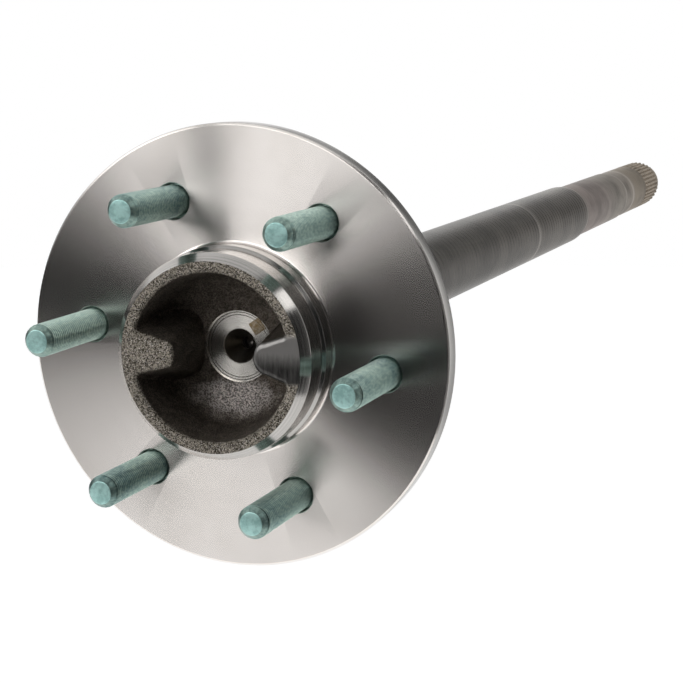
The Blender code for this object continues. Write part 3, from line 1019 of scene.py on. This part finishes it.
    def pad_cutter(self, steps: int) -> Solid:
        """Spot face with two fine rings near its edge, and the drilled centre."""
        z, top = self.pad_height, self.pad_height + self.pad_clearance
        points = [(0.0, top), (self.pad_radius, top), (self.pad_radius, z)]
        for outer, inner, depth in self.pad_rings:
            points += [(outer, z), (outer - self.ring_flank, z - depth),
                       (inner + self.ring_flank, z - depth), (inner, z)]
        cone = z - (self.centre_radius - self.drill_radius) / math.tan(self.centre_cone)
        bottom = cone - self.drill_length
        points += [(self.centre_radius + self.centre_chamfer, z),
                   (self.centre_radius, z - self.centre_chamfer), (self.drill_radius, cone),
                   (self.drill_radius, bottom), (0.0, bottom - self.drill_radius)]
        return lathe("pad_cutter", points, steps)


@dataclass(frozen=True)
class Forging:
    """The one-piece shaft: outside, cup, holes and splines."""

    outside: Outside = Outside()
    cup: HubCup = HubCup()
    studs: StudPattern = StudPattern()
    stud_hole_radius: float = 7.8
    hole_flare: Span = (0.85, 0.35)
    end_centre: tuple[Point, ...] = (
        (0.0, -1.5), (5.5, -1.5), (4.6, 0.0), (2.5, 3.64), (2.5, 8.6), (0.0, 11.1))
    dent_depth: float = 0.25
    grit_depth: Span = (0.16, 0.02)
    rim_depth: Span = (0.15, 0.03)
    teeth: int = 35
    crest_radius: float = 19.05
    tooth: tuple[Corner, ...] = (
        (17.3, 1.42, 0.0), (17.8, 1.17, 0.2), (18.4, 0.90, 0.6), (18.9, 0.62, 1.0),
        (19.05, 0.47, 1.0))

    def build(self, effects: Effects) -> Solid:
        """Cut, region by region, and dress the forging.

        Args:
            effects: the shared shader groups.

        Returns:
            The finished piece.
        """
        steps = self.outside.steps
        body = lathe("axle_forging", self.outside.profile(), steps)
        subtract(body, [self.cup.hollow(steps)])
        centre = [(radius, self.outside.end + depth) for radius, depth in self.end_centre]
        drilled = [self.cup.pad_cutter(144), lathe("end_centre", centre, 96)]
        drilled += [self._stud_hole(centre) for centre in self.studs.centres()]
        subtract(body, [joined("drilled", drilled)])
        for finish in (TurnedSteel(), PadSteel(), ForgedSteel(), BarSteel(), SplineSteel(),
                       NoseSteel()):
            body.data.materials.append(finish.material(effects))
        for face in body.data.polygons:
            face.material_index = self._region(face.center).value
        self._roughen(body.data)
        lay_level(body)
        return body

    def _stud_hole(self, centre: Point) -> Solid:
        """Through hole with a small chamfer at each end."""
        radius, back = self.stud_hole_radius, -self.outside.flange_thickness
        flare, depth = self.hole_flare
        points = [(0.0, CUT_MARGIN), (radius + flare, CUT_MARGIN), (radius, -depth),
                  (radius, back + depth), (radius + flare, back - CUT_MARGIN),
                  (0.0, back - CUT_MARGIN)]
        return lathe("stud_hole", points, 72, centre)

    def _region(self, centre: Vector) -> Region:
        """How the surface at a point was made."""
        out, cup = self.outside, self.cup
        radius = math.hypot(centre.x, centre.y)
        if centre.z < out.blank_end:
            return Region.SPLINE
        if centre.z < -out.flange_thickness - 0.02:
            return Region.BAR
        if radius < cup.pad_radius + 0.05 and centre.z < cup.floor:
            return Region.PAD
        if radius < out.rim_outer and centre.z > cup.floor - 0.1:
            return Region.FORGED
        on_nose = radius < out.register_radius + 0.1 and centre.z > 0.8
        return Region.NOSE if on_nose or radius > out.flange_radius - 0.3 else Region.TURNED

    def _roughen(self, mesh: bpy.types.Mesh) -> None:
        """Dents and grit over the forged skin, finer on the rim, fading at machined edges."""
        rim, top = self.outside.rim_outer, self.cup.rim_height
        for vertex in mesh.vertices:
            place = vertex.co
            radius = math.hypot(place.x, place.y)
            if radius > rim + 0.02 or place.z < self.cup.floor + 0.2:
                continue
            swell = noise.noise(place * 0.23) + 0.4 * noise.noise(place * 0.61)
            grit = noise.noise(place * 1.1) + 0.5 * noise.noise(place * 1.9)
            rubbed = place.x > 15.0 and abs(place.y - 1.2) < 9.5 and place.z > top - 1.9
            if place.z > top - 0.02 or radius > rim - 0.3:
                vertex.co.z -= self.rim_depth[rubbed] * max(grit + 0.35, 0.0)
                if radius > rim - 0.3:
                    continue
                place = vertex.co.copy()
            inward = Vector((-place.x, -place.y, 0.0)).normalized()
            depth = swell * self.dent_depth + grit * self.grit_depth[rubbed]
            vertex.co = place + inward * depth

    def build_splines(self, tree: Tree, finish: Material) -> Solid:
        """One rolled tooth, repeated around the shaft by the ring tree.

        Args:
            tree: the tree that repeats a tooth.
            finish: material of the splines.

        Returns:
            The ring of teeth.
        """
        out = self.outside
        levels = ((out.blank_end + 0.4, 18.90), (out.spline_start, self.crest_radius),
                  (out.spline_end + 1.5, self.crest_radius), (out.spline_end + 0.05, 17.62))
        sections = []
        for height, crest in levels:
            lift = crest - self.crest_radius
            half = [(radius + share * lift, width) for radius, width, share in self.tooth]
            outline = half + [(x, -y) for x, y in reversed(half)]
            sections.append([Vector((x, y, height)) for x, y in outline])
        teeth = loft("spline_teeth", sections)
        run_tree(teeth, tree, {"Count": self.teeth, "Finish": finish})
        lay_level(teeth)
        return teeth


@dataclass(frozen=True)
class WheelStud:
    """A pressed-in M14 x 1.5 wheel stud."""

    steps: int = 48
    core_radius: float = 6.18
    thread_radius: float = 6.93
    pitch: float = 1.5
    projection: float = 48.39
    tip_radius: float = 4.75
    tip_chamfer: float = 2.8
    knurl_radius: float = 7.5
    knurl_length: float = 8.0
    seat: float = -11.3
    head_radius: float = 11.5
    head_thickness: float = 4.5
    head_dish: float = 0.3
    thread_gap: float = 0.4
    thread_stop: float = 0.85
    turn: float = math.radians(47.0)

    def profile(self) -> list[Point]:
        """The stud without its thread, from tip to head."""
        slope = (self.thread_radius - self.tip_radius) / self.tip_chamfer
        shoulder = self.projection - (self.core_radius - self.tip_radius) / slope
        knurl_top = self.seat + self.knurl_length
        bottom = self.seat - self.head_thickness
        return rounded([
            (0.0, self.projection, 0.0), (self.tip_radius, self.projection, 0.35),
            (self.core_radius, shoulder, 0.3), (self.core_radius, knurl_top, 0.0),
            (self.knurl_radius, knurl_top, 0.4), (self.knurl_radius, self.seat, 0.2),
            (self.head_radius, self.seat, 0.3), (self.head_radius, bottom, 0.9),
            (self.head_radius - 2.2, bottom, 0.3),
            (self.head_radius - 2.6, bottom + self.head_dish, 0.3),
            (0.0, bottom + self.head_dish, 0.0)], 3)

    def build(self, index: int, centre: Point, tree: Tree, finish: Material) -> Solid:
        """Turn the stud, run its thread round it, and stand it in its hole.

        Args:
            index: number of the stud, from 1.
            centre: its place on the flange.
            tree: the thread tree.
            finish: its coating.

        Returns:
            The finished stud.
        """
        stud = lathe(f"stud_{index}", self.profile(), self.steps)
        start = self.seat + self.knurl_length + self.thread_gap
        run_tree(stud, tree, {
            "Radius": self.core_radius, "Depth": self.thread_radius - self.core_radius,
            "Pitch": self.pitch, "Start": start,
            "Length": self.projection - self.thread_stop - start,
            "Chamfer Start": self.projection - self.tip_chamfer,
            "Chamfer Slope": (1.0 - self.tip_radius / self.thread_radius) / self.tip_chamfer,
            "Finish": finish})
        stud.data.transform(Matrix.Rotation(self.turn * index, 4, "Z"))
        stud.data.transform(Matrix.Translation((*centre, 0.0)))
        lay_level(stud)
        return stud


@dataclass(frozen=True)
class Trees:
    """Geometry trees for what repeats or winds."""

    ring: Tree
    thread: Tree

    @classmethod
    def build(cls) -> "Trees":
        """Build each tree once."""
        return cls(cls._ring(), cls._thread())

    @staticmethod
    def _finish(wiring: Wiring, geometry: Outputs, given: Outputs, result: Node) -> Tree:
        """End a tree: realize the instances and set the material."""
        real = wiring.add("GeometryNodeRealizeInstances", {"Geometry": geometry})
        wiring.feed(result, {"Geometry": wiring.add("GeometryNodeSetMaterial", {
            "Geometry": real, "Material": given["Finish"]})})
        return wiring.tree

    @classmethod
    def _ring(cls) -> Tree:
        """Repeats the tooth that it is given, evenly around Z."""
        wiring, given, result = new_tree(
            "ring_of_teeth", "GeometryNodeTree",
            {"Geometry": ("Geometry", None), "Count": ("Int", 35), "Finish": ("Material", None)},
            {"Geometry": "Geometry"})
        share = wiring.add("GeometryNodeInputIndex")[0] / given["Count"]
        ring = wiring.add("GeometryNodeInstanceOnPoints", {
            "Points": wiring.add("GeometryNodePoints", {"Count": given["Count"]}),
            "Instance": given["Geometry"], "Rotation": wiring.combine({2: share * math.tau})})
        return cls._finish(wiring, ring, given, result)

    @classmethod
    def _thread(cls) -> Tree:
        """Winds a ridge round the core that it is given, lower along the tip's chamfer."""
        wiring, put, result = new_tree(
            "stud_thread", "GeometryNodeTree",
            {"Geometry": ("Geometry", None), "Radius": ("Float", 6.18), "Depth": ("Float", 0.75),
             "Pitch": ("Float", 1.5), "Start": ("Float", 0.0), "Length": ("Float", 40.0),
             "Chamfer Start": ("Float", 46.3), "Chamfer Slope": ("Float", 0.12),
             "Finish": ("Material", None)},
            {"Geometry": "Geometry"})
        helix = wiring.add("GeometryNodeCurveSpiral", {
            "Resolution": 24, "Rotations": put["Length"] / put["Pitch"],
            "Start Radius": put["Radius"], "End Radius": put["Radius"], "Height": put["Length"]})
        raised = wiring.add("GeometryNodeTransform", {
            "Geometry": helix, "Translation": wiring.combine({2: put["Start"]})})
        upright = wiring.add("GeometryNodeSetCurveNormal", {"Curve": raised}, mode="Z_UP")
        half = put["Pitch"] * 0.5
        ridge = wiring.add("GeometryNodeCurvePrimitiveQuadrilateral", {
            "Bottom Width": half * 1.60, "Top Width": half * 0.90, "Height": put["Depth"]},
            mode="TRAPEZOID")
        ridge = wiring.add("GeometryNodeTransform", {
            "Geometry": ridge, "Translation": wiring.combine({0: put["Depth"] * -0.5}),
            "Rotation": (0.0, 0.0, 0.5 * math.pi)})
        sweep = wiring.add("GeometryNodeCurveToMesh", {
            "Curve": upright, "Profile Curve": ridge, "Fill Caps": True})
        place = wiring.add("GeometryNodeInputPosition")
        above = wiring.most(wiring.split(place)[2] - put["Chamfer Start"], 0.0)
        narrow = 1.0 - above * put["Chamfer Slope"]
        fitted = wiring.vector("MULTIPLY", place, wiring.combine({0: narrow, 1: narrow, 2: 1.0}))
        tapered = wiring.add("GeometryNodeSetPosition", {"Geometry": sweep, "Position": fitted})
        both = wiring.add("GeometryNodeJoinGeometry", {0: tapered})
        wiring.feed(both.node, {0: put["Geometry"]})
        flat = wiring.vector("MULTIPLY", place, (1.0, 1.0, 0.0))
        above_core = (wiring.vector("LENGTH", flat)["Value"] - put["Radius"]) / put["Depth"]
        marked = wiring.add("GeometryNodeStoreNamedAttribute", {
            "Geometry": both, "Name": "ridge", "Value": above_core})
        return cls._finish(wiring, marked, put, result)


@dataclass(frozen=True)
class Softbox:
    """A large lamp that faces the hub."""

    name: str
    place: Vector
    size: Span
    power: float
    mirrored: bool = True

    def build(self) -> None:
        """Hang the lamp, turned towards the hub."""
        light = bpy.data.lights.new(self.name, "AREA")
        light.shape = "RECTANGLE"
        light.size, light.size_y = self.size
        light.energy = self.power
        lamp = link(self.name, light)
        lamp.location = self.place
        lamp.rotation_euler = (-self.place).to_track_quat("-Z", "Y").to_euler()
        lamp.visible_camera = False
        lamp.visible_glossy = self.mirrored


@dataclass(frozen=True)
class StudioWalls:
    """Dome that only reflections see: a bright wall at the upper left, and black cloth between.

    The edges are heights and sideways measures of the direction from the hub. Where the dome is
    clear, the white room shows.
    """

    radius: float = 2.6
    bright: float = 2.15
    dark: float = 0.012
    overhead: float = 0.70
    overhead_height: Span = (0.62, 0.84)
    upper_edge: Span = (0.072, 0.138)
    lower_edge: Span = (0.274, 0.304)
    lower_tilt: float = 0.297
    middle: float = -0.4
    right_edge: Span = (0.10, 0.15)
    right_top: Span = (0.95, 0.90)
    low_height: Span = (-0.20, -0.42)
    low_reach: float = 0.17
    front_edge: Span = (0.05, -0.05)
    gap: Corner = (-0.416, 0.022, 0.02)
    gap_lean: float = 0.1228
    far_side: Span = (-0.64, -0.76)
    far_height: Span = (0.42, 0.32)
    far_share: float = 0.7
    level_middle: float = 0.06
    level_height: Span = (0.34, 0.14)
    left_edge: Span = (-0.55, -0.75)
    card_place: Span = (0.20, 0.10)
    card_spread: Span = (0.21, 0.20)
    card_edge: Span = (0.34, 0.27)
    upper_height: Corner = (0.37, 0.08, 0.05)
    upper_side: Corner = (-0.04, 0.26, 0.06)
    zone_height: Span = (0.44, 0.30)
    zone_left: Span = (-0.20, -0.02)
    zone_right: Span = (0.48, 0.26)
    card_share: float = 0.44
    upper_share: float = 0.62
    zone_share: float = 0.56

    def build(self) -> None:
        """Make the dome as a mesh that lets the camera, light and shadows through."""
        bm = bmesh.new()
        bmesh.ops.create_uvsphere(bm, u_segments=96, v_segments=48, radius=self.radius)
        bmesh.ops.reverse_faces(bm, faces=bm.faces)
        walls = as_object("studio_walls", bm)
        walls.data.materials.append(self._cloth())
        walls.visible_camera = walls.visible_diffuse = walls.visible_shadow = False
        walls.visible_transmission = walls.visible_volume_scatter = False

    def _cloth(self) -> Material:
        """Bright cloth above, black cloth level with the hub and at the right, clear elsewhere."""
        surface = Surface("wall_cloth", 0.0)
        wiring = surface.wiring
        side, back, height = wiring.split(wiring.vector("NORMALIZE", surface.position))
        lean = (side - self.middle) * -self.lower_tilt + height * -1.0
        reach = wiring.rise(height, *self.low_height) * self.low_reach + side
        right = wiring.rise(reach, *self.right_edge) * wiring.rise(height, *self.right_top)
        stripe = wiring.band(height * self.gap_lean + side, *self.gap)
        far_left = wiring.rise(side, *self.far_side) * wiring.rise(height, *self.far_height)
        black = wiring.most(right, stripe, 1.0 - wiring.rise(height, *self.upper_edge),
                            far_left * self.far_share)
        front = wiring.rise(back, *self.front_edge)
        fall = wiring.rise(height, *self.overhead_height) * (self.overhead - self.bright)
        strength = (1.0 - black) * front * (fall + self.bright) + self.dark
        below = wiring.rise(lean, *self.lower_edge)
        cover = wiring.most(front * (1.0 - below * (1.0 - right)),
                            (1.0 - front) * self._rear_cards(wiring, side, height))
        cloth = wiring.add("ShaderNodeEmission", {"Color": WHITE, "Strength": strength})
        hung = wiring.add("ShaderNodeMixShader", {
            0: cover, 1: wiring.add("ShaderNodeBsdfTransparent"), 2: cloth})
        wiring.feed(surface.material.node_tree.nodes["Material Output"], {"Surface": hung})
        return surface.material

    def _rear_cards(self, wiring: Wiring, side: Value, height: Value) -> Value:
        """Mask of the black cards behind the axle, for the shaft's core and the flange's rim."""
        left = (wiring.rise(abs(height - self.level_middle), *self.level_height)
                * wiring.rise(side, *self.left_edge))
        across, up = (((value - place) / spread) ** 2.0 for value, place, spread in zip(
            (side, height), self.card_place, self.card_spread))
        card = wiring.math("EXPONENT", (across + up) * -1.0) * wiring.rise(side, *self.card_edge)
        upper = wiring.band(height, *self.upper_height) * wiring.band(side, *self.upper_side)
        zone = (wiring.rise(abs(height), *self.zone_height)
                * wiring.rise(side, *self.zone_left) * wiring.rise(side, *self.zone_right))
        dim = card * self.card_share + upper * self.upper_share + zone * self.zone_share
        return wiring.math("MINIMUM", wiring.most(dim, left), 1.0)


def seen_directly(wiring: Wiring) -> Value:
    """Mask that is 1 for what the camera sees, directly, in metal or through glass."""
    path = wiring.add("ShaderNodeLightPath")
    seen = path["Is Camera Ray"] + path["Is Glossy Ray"] + path["Is Transmission Ray"]
    return wiring.math("MINIMUM", seen, 1.0)


@dataclass(frozen=True)
class Studio:
    """White room: floor, lamps, the walls that metal reflects, and the camera."""

    eye: Corner = (0.29677, -0.67749, 0.13068)
    tilt: float = math.radians(-9.815)
    turn: float = math.radians(20.123)
    lens: float = 93.26
    floor_height: float = -1.5
    floor_glow: float = 0.68
    light_level: float = 0.38

    def build(self) -> None:
        """Set the room up."""
        self._camera()
        self._world()
        self._floor()
        StudioWalls().build()
        Softbox("key", Vector((1.33, -0.36, 1.30)), (0.42, 0.56), 1.9).build()
        Softbox("top", Vector((-1.0, -1.6, 1.9)), (2.2, 1.8), 42.0, mirrored=False).build()

    def _camera(self) -> None:
        """The photograph's view."""
        data = bpy.data.cameras.new("camera")
        data.lens = self.lens
        data.clip_end = 50.0
        camera = link("camera", data)
        camera.location = self.eye
        camera.rotation_euler = (0.5 * math.pi + self.tilt, 0.0, self.turn)
        bpy.context.scene.camera = camera
        bpy.context.scene.view_settings.view_transform = "Standard"

    def _world(self) -> None:
        """White all round, for the camera and in metal; a plain level for the light itself."""
        world = bpy.data.worlds.new("room")
        bpy.context.scene.world = world
        world.use_nodes = True
        world.cycles.sampling_method = "NONE"
        wiring = Wiring(world.node_tree)
        level = seen_directly(wiring) * (1.0 - self.light_level) + self.light_level
        wiring.feed(world.node_tree.nodes["Background"], {"Color": WHITE, "Strength": level})

    def _floor(self) -> None:
        """Plain white floor under the axle, which keeps a faint shadow."""
        bm = bmesh.new()
        bmesh.ops.create_circle(bm, cap_ends=True, segments=96, radius=12.0,
                                matrix=Matrix.Translation((0.0, 0.0, self.floor_height)))
        floor = as_solid("floor", bm)
        surface = Surface("floor_white", 0.0)
        wiring = surface.wiring
        color = wiring.mix(wiring.noise(surface.position, 3.0), (0.80, 0.80, 0.80),
                           (0.84, 0.84, 0.84))
        wiring.feed(surface.shader, {"Emission Color": WHITE,
                                     "Emission Strength": seen_directly(wiring) * self.floor_glow})
        floor.data.materials.append(surface.finish(color, 0.9))


def report(piece: Solid, node: str) -> None:
    """Tie a piece to the frame and log it.

    Args:
        piece: the finished piece.
        node: CAD node that it stands for.
    """
    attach(piece, "root")
    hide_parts(node)
    LOG.info("%s: %d faces, stands for %s", piece.name, len(piece.data.polygons), node)


def main() -> None:
    """Build every piece in order, then the room."""
    logging.basicConfig(level=logging.INFO, format="%(name)s %(message)s")
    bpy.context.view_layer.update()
    effects, trees = Effects.build(), Trees.build()
    forging = Forging()
    body = forging.build(effects)
    report(body, "axle_shaft")
    splines = forging.build_splines(trees.ring, body.data.materials[Region.SPLINE.value])
    report(splines, "axle_shaft")
    coating = StudCoating().material(effects)
    for number, centre in enumerate(forging.studs.centres(), 1):
        stud = WheelStud().build(number, centre, trees.thread, coating)
        report(stud, f"wheel_stud_{number}")
    Studio().build()


if __name__ == "__main__":
    main()
